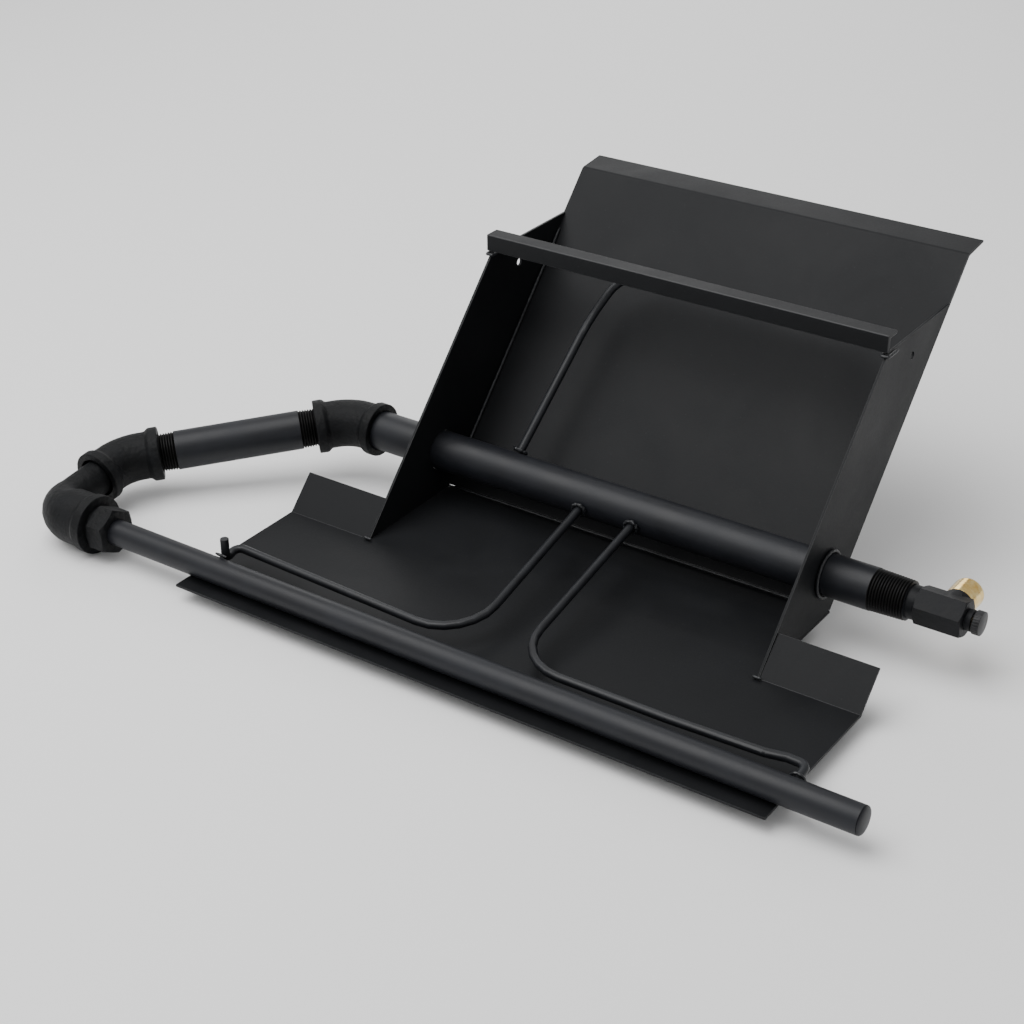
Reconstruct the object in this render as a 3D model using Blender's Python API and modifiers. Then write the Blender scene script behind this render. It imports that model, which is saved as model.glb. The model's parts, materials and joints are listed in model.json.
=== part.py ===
"""Propane burner stand: a folded steel tray with a leaning hood, a welded gas pipe loop and a needle valve.

Axes: +X runs along the pipes towards the gas inlet, +Y to the back of the hood, +Z up.
The origin is on the tray's underside, at the middle of the line where its two side wings fold up.
"""

import math

import bmesh
import bpy
from mathutils import Matrix, Vector

GAP = 0.0003  # clearance kept between two pieces that touch

# Sheet metal: tray, two side plates and the back plate
SHEET = 0.002
TRAY_HALF_WIDTH = 0.261
TRAY_FRONT = -0.140
WING_LENGTH = 0.0365
WING_ANGLE = math.radians(45)
HOOD_HALF_WIDTH = 0.1800  # to the outer faces of the side plates
LEAN = math.radians(47)  # of the hood, from the ground
PLATE_DEPTH = 0.1085  # of a side plate, front to back along the ground
PLATE_TOP = 0.1925
HANG_HOLE_RADIUS = 0.0032
HANG_HOLES = {-1: (0.2153, 0.1702), 1: (0.2230, 0.1730)}  # y, z, drilled by hand
BACK_LENGTH = 0.3015  # of the back plate, from its foot to its lip
LIP_LENGTH = 0.027
LIP_ANGLE = math.radians(6)  # of the lip, from the ground

# Angle iron across the top of the hood
BAR_LEFT = -0.1832
BAR_RIGHT = 0.1804
BAR_FRONT = 0.1755
BAR_LEG = 0.0142  # both legs of the angle
BAR_THICKNESS = 0.003

# Gas pipes: 1 inch main pipe, nipple and elbows, 1/2 inch burner pipe
MAIN_RADIUS = 0.0167
MAIN_BORE = 0.0133
MAIN_Y = 0.100
MAIN_Z = 0.0409
MAIN_RIGHT = 0.249
THREAD_PITCH = 0.00221
THREAD_DEPTH = 0.0013
THREAD_START = 0.0164  # radius where the taper thread begins
THREAD_TAPER = 1 / 32
MAIN_THREAD_TURNS = 13
NIPPLE_THREAD_TURNS = 12
BURNER_RADIUS = 0.01067
BURNER_BORE = 0.0079
BURNER_Y = -0.1196
BURNER_RIGHT = 0.3205
BURNER_PORTS = 19
BURNER_PORT_PITCH = 0.025
BURNER_PORT_RADIUS = 0.001
BURNER_PORT_TILT = math.radians(25)  # above the horizontal, towards the hood

# Cast fittings of the pipe loop
ENGAGE = 0.013  # how far a thread goes into a port
ELBOW_REACH = 0.0322  # centre to face of a 45 degree elbow
ELBOW_BEND = 0.0386  # centreline radius
BAND_RADIUS = 0.0229
BAND_WIDTH = 0.008
BAND_FILLET = 0.003
BODY_RADIUS = 0.0202
ELBOW_X = -0.2735  # centre of the elbow on the main pipe
NIPPLE_SPAN = 0.1980  # centre to centre of the two 45 degree elbows
STREET_REACH = 0.0505  # centre to face of the street elbow's port
STREET_BODY = 0.0228
STREET_BAND = 0.0246
STREET_LEG = 0.0150
STREET_BEND = 0.0210
BUSHING_HEX = 0.0400  # across corners
BUSHING_WIDTH = 0.0170
BUSHING_STANDOFF = 0.0030  # of its hexagon from the port, so that some of the shank shows
BUSHING_TURN = math.radians(3)

# Round bars welded to the pipes
ROD_RADIUS = 0.0035
BEAD_RADIUS = 0.0016
UPTURNED_TIP = 0.0190  # of the left bar, beside the burner pipe

# Inlet valve
COLLAR_RADIUS = 0.0130
VALVE_HEX = 0.0312  # across corners
VALVE_HEX_TURN = math.radians(12)
VALVE_HEX_LEFT = 0.2560
VALVE_RIGHT = 0.2930
BRANCH_RADIUS = 0.0122
BRANCH_X = 0.2790
BRANCH_END = 0.1152
BRASS_END = 0.1370
STEM_RADIUS = 0.0031
KNOB_RADIUS = 0.0092
KNOB_LEFT = 0.2990
KNOB_RIGHT = 0.3056
KNOB_SOCKET = 0.0042
NOSE_LENGTH = 0.018  # of the valve's nose, inside the main pipe
NOSE_RADIUS = 0.0068
SPIGOT_RADIUS = 0.0080
SPIGOT_START = 0.005  # how far from the stem's axis its bore begins
HOSE_SOCKET_RADIUS = 0.0085
HOSE_SOCKET_DEPTH = 0.009
HOSE_PASSAGE = 0.0040
CROSS_PASSAGE = 0.0025  # of the valve body, between its stem and its branch
PLUG_LENGTH = 0.012
JET_RADIUS = 0.0052
JET_HOLE = 0.0007
NUT_RADIUS = 0.0083
NUT_WIDTH = 0.0050

PIPE_SIDES = 32

X = Vector((1, 0, 0))
Y = Vector((0, 1, 0))
Z = Vector((0, 0, 1))
UP_THE_HOOD = Vector((0, math.cos(LEAN), math.sin(LEAN)))
BEHIND_THE_HOOD = Vector((0, math.sin(LEAN), -math.cos(LEAN)))
BURNER_Z = SHEET + GAP + BURNER_RADIUS
MAIN = Vector((0, MAIN_Y, MAIN_Z))
BURNER = Vector((0, BURNER_Y, BURNER_Z))
PIPE_DISTANCE = (BURNER - MAIN).length
TO_BURNER = (BURNER - MAIN).normalized()


def main_point(x, out, direction=TO_BURNER):
    """A point beside the main pipe: x along it, then so far out from its axis in one direction."""
    return MAIN + X * x + direction * out


def clear_scene():
    for obj in list(bpy.data.objects):
        bpy.data.objects.remove(obj, do_unlink=True)


def collection(name):
    made = bpy.data.collections.new(name)
    bpy.context.scene.collection.children.link(made)
    return made


def material(name, colour, roughness, metallic):
    made = bpy.data.materials.new(name)
    made.use_nodes = True
    shader = made.node_tree.nodes["Principled BSDF"]
    shader.inputs["Base Color"].default_value = (*colour, 1)
    shader.inputs["Roughness"].default_value = roughness
    shader.inputs["Metallic"].default_value = metallic
    return made


def placed(name, data, skin, matrix=None, into=None):
    """A new object for this mesh or curve, in the parts collection unless another is named."""
    obj = bpy.data.objects.new(name, data)
    (into or PARTS).objects.link(obj)
    obj.matrix_world = matrix or Matrix.Identity(4)
    if skin:
        data.materials.append(skin)
    return obj


def facing(origin, direction):
    """A placement whose local Z points along the direction."""
    turn = Vector(direction).to_track_quat("Z", "Y").to_matrix().to_4x4()
    return Matrix.Translation(origin) @ turn


def across(x):
    """A placement that stands a flat outline in the YZ plane: its own x, y become Y, Z."""
    stand = Matrix(((0, 0, 1, 0), (1, 0, 0, 0), (0, 1, 0, 0), (0, 0, 0, 1)))
    return Matrix.Translation((x, 0, 0)) @ stand


def turned(name, profile, matrix, skin, sides=PIPE_SIDES, into=None):
    """A profile of (radius, height) points, from the top down the outside, spun about local Z."""
    closed = min(radius for radius, _ in profile) > 0
    mesh = bpy.data.meshes.new(name)
    bm = bmesh.new()
    points = [bm.verts.new((radius, 0, height)) for radius, height in profile]
    for first, second in zip(points, points[1:]):
        bm.edges.new((first, second))
    if closed:
        bm.edges.new((points[-1], points[0]))
    bm.to_mesh(mesh)
    bm.free()
    obj = placed(name, mesh, skin, matrix, into)
    screw = obj.modifiers.new("Turn", "SCREW")
    screw.steps = sides
    screw.render_steps = sides
    screw.use_merge_vertices = True
    screw.merge_threshold = 0.00001
    return obj


def rod_through(name, path, radius, skin, sides=12, radii=None, cyclic=False, into=None):
    """A round bar along a path of points, each with an optional radius of its own."""
    curve = bpy.data.curves.new(name, "CURVE")
    curve.dimensions = "3D"
    curve.bevel_depth = radius
    curve.bevel_resolution = sides // 2 - 2
    curve.use_fill_caps = not cyclic
    spline = curve.splines.new("POLY")
    spline.points.add(len(path) - 1)
    spline.use_cyclic_u = cyclic
    for index, point in enumerate(path):
        spline.points[index].co = (*point, 1)
        if radii:
            spline.points[index].radius = radii[index] / radius
    return placed(name, curve, skin, None, into)


def flat_plate(name, outlines, thickness, matrix, skin):
    """A flat outline, with any holes as further outlines, given a thickness."""
    curve = bpy.data.curves.new(name, "CURVE")
    curve.dimensions = "2D"
    curve.fill_mode = "BOTH"
    curve.extrude = thickness / 2
    for outline in outlines:
        spline = curve.splines.new("POLY")
        spline.points.add(len(outline) - 1)
        spline.use_cyclic_u = True
        for point, place in zip(spline.points, outline):
            point.co = (*place, 0, 1)
    return placed(name, curve, skin, matrix)


def as_mesh(obj):
    """The same object with its modifiers or curve made into one welded mesh."""
    graph = bpy.context.evaluated_depsgraph_get()
    mesh = bpy.data.meshes.new_from_object(obj.evaluated_get(graph))
    bm = bmesh.new()
    bm.from_mesh(mesh)
    bmesh.ops.remove_doubles(bm, verts=bm.verts, dist=0.000001)
    bm.to_mesh(mesh)
    bm.free()
    name, matrix, home = obj.name, obj.matrix_world.copy(), obj.users_collection[0]
    bpy.data.objects.remove(obj, do_unlink=True)
    return placed(name, mesh, None, matrix, home)


def combine(obj, other, operation):
    """Cuts the other shape from this one, or joins them, with the other kept as a hidden helper."""
    change = obj.modifiers.new(other.name, "BOOLEAN")
    change.operation = operation
    change.solver = "EXACT"
    change.object = other
    other.hide_render = True
    other.display_type = "WIRE"
    return obj


def circle(centre, radius, points):
    steps = (math.tau * index / points for index in range(points))
    return [(centre[0] + radius * math.cos(a), centre[1] + radius * math.sin(a)) for a in steps]


def rounded(corners, radii, steps=8):
    """The path through these corners, with an arc of the given radius at each inner one."""
    path = [corners[0]]
    for before, corner, after, radius in zip(corners, corners[1:], corners[2:], radii):
        back = (before - corner).normalized()
        ahead = (after - corner).normalized()
        half = back.angle(ahead) / 2
        tangent = radius / math.tan(half)
        centre = corner + (back + ahead).normalized() * (radius / math.sin(half))
        start = corner + back * tangent - centre
        end = corner + ahead * tangent - centre
        sweep = start.angle(end)
        for step in range(steps + 1):
            share = step / steps
            near = math.sin((1 - share) * sweep) / math.sin(sweep)
            far = math.sin(share * sweep) / math.sin(sweep)
            path.append(centre + start * near + end * far)
    path.append(corners[-1])
    return path


def tray():
    """One sheet: the flat floor, its narrower tab under the hood, and a wing folded up on each side."""
    mesh = bpy.data.meshes.new("tray")
    bm = bmesh.new()
    slit = HOOD_HALF_WIDTH + GAP
    fold = [-TRAY_HALF_WIDTH, -slit, -HOOD_HALF_WIDTH, HOOD_HALF_WIDTH, slit, TRAY_HALF_WIDTH]
    points = [bm.verts.new((x, 0, SHEET)) for x in fold]
    edges = [bm.edges.new(pair) for pair in zip(points, points[1:])]
    tab_length = PLATE_DEPTH + (GAP + SHEET) / math.sin(LEAN)
    wing = Vector((0, math.cos(WING_ANGLE), math.sin(WING_ANGLE))) * WING_LENGTH
    for group, move in (
        (edges, Vector((0, TRAY_FRONT, 0))),
        (edges[2:3], Vector((0, tab_length, 0))),
        (edges[:1], wing),
        (edges[4:], wing),
    ):
        grown = bmesh.ops.extrude_edge_only(bm, edges=group)["geom"]
        moved = [part for part in grown if isinstance(part, bmesh.types.BMVert)]
        bmesh.ops.translate(bm, verts=moved, vec=move)
    grown = bmesh.ops.extrude_face_region(bm, geom=bm.faces[:])["geom"]
    for vert in (part for part in grown if isinstance(part, bmesh.types.BMVert)):
        if vert.co.z > SHEET + GAP:
            vert.co += Vector((0, math.sin(WING_ANGLE), -math.cos(WING_ANGLE))) * SHEET
        elif abs(vert.co.y) < GAP:
            vert.co += Vector((0, math.tan(WING_ANGLE / 2), -1)) * SHEET
        else:
            vert.co.z -= SHEET
    bmesh.ops.recalc_face_normals(bm, faces=bm.faces)
    bm.to_mesh(mesh)
    bm.free()
    return placed("tray", mesh, BLACK_STEEL)


def side_plate(side, name):
    """A parallelogram that leans back, with a hole for the main pipe and a small hanging hole."""
    base = SHEET + GAP
    shift = (PLATE_TOP - base) / math.tan(LEAN)
    outline = [(0, base), (PLATE_DEPTH, base), (PLATE_DEPTH + shift, PLATE_TOP), (shift, PLATE_TOP)]
    pipe_hole = circle((MAIN_Y, MAIN_Z), MAIN_RADIUS + GAP, PIPE_SIDES)
    hang_hole = circle(HANG_HOLES[side], HANG_HOLE_RADIUS, 12)
    middle = side * (HOOD_HALF_WIDTH - SHEET / 2)
    return flat_plate(name, [outline, pipe_hole, hang_hole], SHEET, across(middle), BLACK_STEEL)


def back_plate():
    """A sheet that leans against the side plates' rear edges, with its top edge bent rearwards."""
    mesh = bpy.data.meshes.new("back_plate")
    bm = bmesh.new()
    raised = (SHEET + GAP) / math.tan(LEAN)
    foot = Vector((0, PLATE_DEPTH, SHEET + GAP)) + UP_THE_HOOD * raised + BEHIND_THE_HOOD * GAP
    ends = [bm.verts.new(foot + X * x) for x in (-HOOD_HALF_WIDTH, HOOD_HALF_WIDTH)]
    edges = [bm.edges.new(ends)]
    lip = Vector((0, math.cos(LIP_ANGLE), math.sin(LIP_ANGLE))) * LIP_LENGTH
    for move in (UP_THE_HOOD * BACK_LENGTH, lip):
        grown = bmesh.ops.extrude_edge_only(bm, edges=edges)["geom"]
        moved = [part for part in grown if isinstance(part, bmesh.types.BMVert)]
        edges = [part for part in grown if isinstance(part, bmesh.types.BMEdge)]
        bmesh.ops.translate(bm, verts=moved, vec=move)
        edges = [edge for edge in edges if set(edge.verts) == set(moved)]
    bmesh.ops.recalc_face_normals(bm, faces=bm.faces)
    bm.normal_update()
    if next(iter(bm.faces)).normal.z < 0:
        bmesh.ops.reverse_faces(bm, faces=bm.faces)
    bm.to_mesh(mesh)
    bm.free()
    obj = placed("back_plate", mesh, BLACK_STEEL)
    fold = obj.modifiers.new("Bend", "BEVEL")
    fold.width = SHEET
    fold.segments = 3
    fold.limit_method = "ANGLE"
    shell = obj.modifiers.new("Sheet", "SOLIDIFY")
    shell.thickness = SHEET
    shell.offset = -1
    shell.use_even_offset = True
    return obj


def crossbar():
    """Angle iron standing on the side plates' top corners, its flange on top and pointing back."""
    low = PLATE_TOP + GAP
    high = low + BAR_LEG
    inner = BAR_FRONT + BAR_THICKNESS
    outline = [
        (BAR_FRONT, low),
        (inner, low),
        (inner, high - BAR_THICKNESS),
        (BAR_FRONT + BAR_LEG, high - BAR_THICKNESS),
        (BAR_FRONT + BAR_LEG, high),
        (BAR_FRONT, high),
    ]
    middle = across((BAR_LEFT + BAR_RIGHT) / 2)
    return flat_plate("crossbar", [outline], BAR_RIGHT - BAR_LEFT, middle, BLACK_STEEL)


def thread(low, turns, upwards):
    """A tapered thread as V grooves, as (radius, height) points from its upper end down.

    It gets thinner upwards if upwards is 1, and downwards if upwards is -1.
    """
    points = []
    for turn in range(turns):
        height = low + (turn + 0.5) * THREAD_PITCH
        travelled = turn + 0.5 if upwards > 0 else turns - turn - 0.5
        radius = THREAD_START - travelled * THREAD_PITCH * THREAD_TAPER
        points.append((radius, height - 0.35 * THREAD_PITCH))
        points.append((radius - THREAD_DEPTH, height))
        points.append((radius, height + 0.35 * THREAD_PITCH))
    return points[::-1]


def main_pipe():
    left = ELBOW_X + ELBOW_REACH - ENGAGE
    length = MAIN_RIGHT - left
    threaded = length - MAIN_THREAD_TURNS * THREAD_PITCH
    profile = [(MAIN_BORE, length)]
    profile += thread(threaded, MAIN_THREAD_TURNS, 1)
    profile += [(MAIN_RADIUS, threaded), (MAIN_RADIUS, 0), (MAIN_BORE, 0)]
    return turned("main_pipe", profile, facing((left, MAIN_Y, MAIN_Z), X), BLACK_STEEL)


def nipple_direction():
    return (TO_BURNER - X).normalized()


def nipple():
    """The short pipe between the two 45 degree elbows, threaded at both ends."""
    start = ELBOW_REACH - ENGAGE
    length = NIPPLE_SPAN - 2 * start
    threaded = NIPPLE_THREAD_TURNS * THREAD_PITCH
    profile = [(MAIN_BORE, length)]
    profile += thread(length - threaded, NIPPLE_THREAD_TURNS, 1)
    profile += [(MAIN_RADIUS, length - threaded), (MAIN_RADIUS, threaded)]
    profile += thread(0, NIPPLE_THREAD_TURNS, -1)
    profile += [(MAIN_BORE, 0)]
    origin = main_point(ELBOW_X, 0) + nipple_direction() * start
    return turned("nipple", profile, facing(origin, nipple_direction()), BLACK_STEEL, 24)


def fitting(name, outside, outside_radii, inside, inside_radii):
    """A hollow casting: a bar with stepped radii, bored by a second one."""
    body = as_mesh(rod_through(name, outside, BODY_RADIUS, None, 28, outside_radii))
    bore = rod_through(name + "_bore", inside, BODY_RADIUS, None, 28, inside_radii, into=CUTTERS)
    body.data.materials.append(CAST_IRON)
    return combine(body, as_mesh(bore), "DIFFERENCE")


def port(centre, direction, reach, body, band=BAND_RADIUS):
    """The stations of one female port, from its face inwards: outside and bore."""
    outside = [reach, reach - BAND_WIDTH, reach - BAND_WIDTH - BAND_FILLET]
    inside = [reach + ENGAGE, reach - ENGAGE - GAP, reach - ENGAGE - 2 * GAP]
    return (
        [centre + direction * out for out in outside],
        [band, band, body],
        [centre + direction * out for out in inside],
        [MAIN_RADIUS + GAP, MAIN_RADIUS + GAP, MAIN_BORE],
    )


def elbow_45(name, centre, first, second):
    """A banded 45 degree elbow with a female port in each of the two directions."""
    out_a, radii_a, bore_a, bore_radii_a = port(centre, first, ELBOW_REACH, BODY_RADIUS)
    out_b, radii_b, bore_b, bore_radii_b = port(centre, second, ELBOW_REACH, BODY_RADIUS)
    bend = rounded([out_a[-1], centre, out_b[-1]], [ELBOW_BEND])[1:-1]
    inner_bend = rounded([bore_a[-1], centre, bore_b[-1]], [ELBOW_BEND])[1:-1]
    return fitting(
        name,
        out_a + bend + out_b[::-1],
        radii_a + [BODY_RADIUS] * len(bend) + radii_b[::-1],
        bore_a + inner_bend + bore_b[::-1],
        bore_radii_a + [MAIN_BORE] * len(inner_bend) + bore_radii_b[::-1],
    )


def street_elbow(centre, male_reach):
    """A 90 degree elbow: its male leg goes up to the loop, its banded port faces the burner pipe."""
    up = -TO_BURNER
    out_a, radii_a, bore_a, bore_radii_a = port(centre, X, STREET_REACH, STREET_BODY, STREET_BAND)
    bend = rounded([out_a[-1], centre, centre + up * male_reach], [STREET_BEND])[1:-1]
    leg = [STREET_BEND + 0.004, male_reach]
    last = len(bend) - 1
    thinning = [STREET_BODY + (STREET_LEG - STREET_BODY) * step / last for step in range(last + 1)]
    inner_bend = rounded([bore_a[-1], centre, centre + up * male_reach], [STREET_BEND])[1:-1]
    return fitting(
        "street_elbow",
        out_a + bend + [centre + up * out for out in leg],
        radii_a + thinning + [STREET_LEG, STREET_LEG],
        bore_a + inner_bend + [centre + up * (male_reach + ENGAGE)],
        bore_radii_a + [MAIN_BORE] * (len(inner_bend) + 1),
    )


def hexagon(name, corners, length, turn, matrix, skin):
    """A hexagonal bar with its end corners chamfered round, from local height 0 to its length."""
    mesh = bpy.data.meshes.new(name)
    bm = bmesh.new()
    bmesh.ops.create_cone(
        bm, cap_ends=True, segments=6, radius1=corners / 2, radius2=corners / 2, depth=length
    )
    spin = Matrix.Translation((0, 0, length / 2)) @ Matrix.Rotation(turn, 4, "Z")
    bmesh.ops.transform(bm, matrix=spin, verts=bm.verts)
    bm.to_mesh(mesh)
    bm.free()
    obj = placed(name, mesh, skin, matrix)
    flat = corners / 2 * math.cos(math.pi / 6)
    chamfer = (corners / 2 - flat) * 0.6
    over = corners / 2 + GAP
    profile = [(0, length), (flat, length), (over, length - chamfer), (over, chamfer), (flat, 0), (0, 0)]
    limit = turned(name + "_chamfer", profile, matrix, None, PIPE_SIDES, CUTTERS)
    return combine(obj, limit, "INTERSECT")


def bushing():
    """A hex reducing bushing: its shank is screwed into the street elbow, the burner pipe into it."""
    hex_left = LOOP_X + STREET_REACH + BUSHING_STANDOFF
    place = facing((hex_left, BURNER_Y, BURNER_Z), X)
    inner_end = -BUSHING_STANDOFF - ENGAGE + GAP
    obj = hexagon("reducing_bushing", BUSHING_HEX, BUSHING_WIDTH, BUSHING_TURN, place, CAST_IRON)
    shank = turned(
        "bushing_shank",
        [(0, GAP), (MAIN_RADIUS, GAP), (MAIN_RADIUS, inner_end), (0, inner_end)],
        place,
        None,
        PIPE_SIDES,
        CUTTERS,
    )
    combine(obj, shank, "UNION")
    socket = BURNER_RADIUS + GAP
    floor = BUSHING_WIDTH - ENGAGE
    bore = turned(
        "bushing_bore",
        [
            (0, BUSHING_WIDTH + ENGAGE),
            (socket, BUSHING_WIDTH + ENGAGE),
            (socket, floor),
            (BURNER_BORE, floor),
            (BURNER_BORE, -2 * ENGAGE),
            (0, -2 * ENGAGE),
        ],
        place,
        None,
        PIPE_SIDES,
        CUTTERS,
    )
    return combine(obj, bore, "DIFFERENCE")


def burner_pipe():
    """The perforated pipe along the tray's front, its row of gas ports aimed at the hood."""
    left = LOOP_X + STREET_REACH + BUSHING_STANDOFF + BUSHING_WIDTH - ENGAGE + GAP
    length = BURNER_RIGHT - left
    profile = [(BURNER_BORE, length), (BURNER_RADIUS, length), (BURNER_RADIUS, 0), (BURNER_BORE, 0)]
    place = facing((left, BURNER_Y, BURNER_Z), X)
    obj = turned("burner_pipe", profile, place, BLACK_STEEL)
    drills = bpy.data.meshes.new("burner_ports")
    bm = bmesh.new()
    aim = Vector((0, math.cos(BURNER_PORT_TILT), math.sin(BURNER_PORT_TILT)))
    for index in range(BURNER_PORTS):
        x = (index - (BURNER_PORTS - 1) / 2) * BURNER_PORT_PITCH
        middle = BURNER + X * x + aim * BURNER_RADIUS
        bmesh.ops.create_cone(
            bm,
            cap_ends=True,
            segments=8,
            radius1=BURNER_PORT_RADIUS,
            radius2=BURNER_PORT_RADIUS,
            depth=0.01,
            matrix=facing(middle, aim),
        )
    bm.to_mesh(drills)
    bm.free()
    return combine(obj, placed("burner_ports", drills, None, None, CUTTERS), "DIFFERENCE")


def burner_plug():
    """A domed disc welded over the burner pipe's right end."""
    edge = BURNER_RADIUS
    dome = 0.0024
    place = facing((BURNER_RIGHT + GAP, BURNER_Y, BURNER_Z), X)
    profile = [(0, dome), (0.6 * edge, 0.85 * dome), (0.9 * edge, 0.5 * dome), (edge, 0), (0, 0)]
    return turned("burner_end_plug", profile, place, BLACK_STEEL)


def bead(name, path, radius=BEAD_RADIUS, cyclic=False):
    """A weld bead: a bar whose radius swells and shrinks in ripples and tapers at open ends."""
    last = len(path) - 1
    radii = [radius * (1 if index % 2 else 0.86) for index in range(len(path))]
    if not cyclic:
        radii[0] = radii[last] = 0.4 * radius
    return rod_through(name, path, radius, WELD_STEEL, 6, radii, cyclic)


def straight(start, end, step=0.003):
    count = max(2, round((end - start).length / step))
    return [start.lerp(end, index / count) for index in range(count + 1)]


def ring(centre, axis, radius, points=16):
    turn = facing(centre, axis)
    return [turn @ Vector((x, y, 0)) for x, y in circle((0, 0), radius, points)]


def pipe_weld(side, name):
    """The fillet weld round the main pipe on the outside of one side plate."""
    thickness = 0.0016
    out = HOOD_HALF_WIDTH + GAP + thickness
    around = MAIN_RADIUS + GAP + thickness
    return bead(name, ring(main_point(side * out, 0), X, around, 32), thickness, True)


def seam_weld(side, name):
    """The inside corner weld between a side plate and the back plate, above the main pipe."""
    inset = HOOD_HALF_WIDTH - SHEET - GAP - BEAD_RADIUS
    foot = Vector((side * inset, PLATE_DEPTH, SHEET + GAP)) - BEHIND_THE_HOOD * BEAD_RADIUS
    start = foot + UP_THE_HOOD * 0.012
    end = foot + UP_THE_HOOD * 0.245
    return bead(name, straight(start, end, 0.007))


def foot_weld():
    """The inside corner weld along the foot of the back plate, where it meets the tray."""
    reach = HOOD_HALF_WIDTH - SHEET - 3 * BEAD_RADIUS
    rise = BEAD_RADIUS * math.tan(LEAN / 2)
    foot = Vector((0, PLATE_DEPTH, SHEET + GAP)) - BEHIND_THE_HOOD * BEAD_RADIUS
    middle = foot + UP_THE_HOOD * rise
    return bead("foot_weld", straight(middle - X * reach, middle + X * reach, 0.006))


def tip_weld(side, name):
    """A tack weld that holds a side plate's front point to the tray."""
    height = SHEET + GAP + BEAD_RADIUS
    reach = -GAP - BEAD_RADIUS
    middle = side * (HOOD_HALF_WIDTH - SHEET / 2)
    start = Vector((middle - 0.004, reach, height))
    return bead(name, straight(start, start + X * 0.008, 0.002))


def crossbar_weld(side, name):
    """The bead round a side plate's top front corner, under one end of the crossbar."""
    clear = GAP + BEAD_RADIUS
    height = PLATE_TOP - BEAD_RADIUS
    front = (height - SHEET - GAP) / math.tan(LEAN) - clear / math.sin(LEAN)
    inside = Vector((side * (HOOD_HALF_WIDTH - SHEET - clear), front, height))
    outside = Vector((side * (HOOD_HALF_WIDTH + clear), front, height))
    path = straight(inside + Y * 0.008, inside)[:-1] + straight(inside, outside)
    return bead(name, path + straight(outside, outside + Y * 0.018)[1:])


def rods():
    """Three bent bars: two brace the burner pipe from the main pipe, one braces the crossbar."""
    root = MAIN_RADIUS + 2 * GAP
    burner_side = PIPE_DISTANCE - BURNER_RADIUS - 2 * GAP
    beside_burner = burner_side - ROD_RADIUS
    left = [
        main_point(-0.0295, root),
        main_point(-0.0136, 0.1974),
        main_point(-0.2425, 0.1890),
        main_point(-0.2385, beside_burner),
        main_point(-0.2385, beside_burner) + Z * UPTURNED_TIP,
    ]
    right = [
        main_point(0.0193, root),
        main_point(0.0303, 0.1984),
        main_point(0.1600, 0.1982),
        main_point(0.2350, 0.1955),
        main_point(0.2510, 0.1925),
        main_point(0.2655, 0.1930),
        main_point(0.2665, burner_side),
    ]
    bar_corner = Vector((0, BAR_FRONT + BAR_THICKNESS + 5 * GAP, PLATE_TOP + 0.4 * BAR_LEG))
    upper = [
        main_point(-0.1072, root, UP_THE_HOOD),
        main_point(-0.0950, 0.1420, UP_THE_HOOD),
        main_point(-0.0825, 0.1865, UP_THE_HOOD),
        main_point(0.1200, 0.1865, UP_THE_HOOD),
        bar_corner + X * 0.1230,
    ]
    for name, corners, bends in (
        ("brace_rod_left", left, [0.040, 0.006, 0.006]),
        ("brace_rod_right", right, [0.042, 0.1, 0.03, 0.012, 0.006]),
        ("brace_rod_upper", upper, [0.2, 0.025, 0.010]),
    ):
        rod_through(name, rounded(corners, bends, 6), ROD_RADIUS, ROUND_BAR, 10)
    around = ROD_RADIUS + GAP + BEAD_RADIUS
    out = GAP + BEAD_RADIUS
    bar_end = (upper[-2] - upper[-1]).normalized()
    for name, end, towards, step in (
        ("brace_root_weld_left", left[0], left[1], out),
        ("brace_root_weld_right", right[0], right[1], out),
        ("brace_root_weld_upper", upper[0], upper[1], out),
        ("brace_end_weld_right", right[-1], right[-2], out),
    ):
        axis = (towards - end).normalized()
        bead(name, ring(end + axis * step, axis, around), BEAD_RADIUS, True)
    beside = BURNER_RADIUS + 2 * GAP - out
    above = math.sqrt((BURNER_RADIUS + out) ** 2 - beside**2)
    notch = BURNER + X * left[-1].x + Y * beside + Z * above
    bead("brace_end_weld_left", straight(notch - X * 0.006, notch + X * 0.006))
    lean_out = 2.2 * out
    bead("brace_end_weld_upper", ring(upper[-1] + bar_end * lean_out, bar_end, around), BEAD_RADIUS, True)


def inlet_plug():
    """The round plug welded into the main pipe's open end, with a threaded hole for the valve."""
    outer = MAIN_BORE - GAP
    nose = NOSE_RADIUS + GAP
    place = facing((MAIN_RIGHT - PLUG_LENGTH, MAIN_Y, MAIN_Z), X)
    profile = [(nose, PLUG_LENGTH), (outer, PLUG_LENGTH), (outer, 0), (nose, 0)]
    return turned("inlet_plug", profile, place, BLACK_STEEL)


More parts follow.
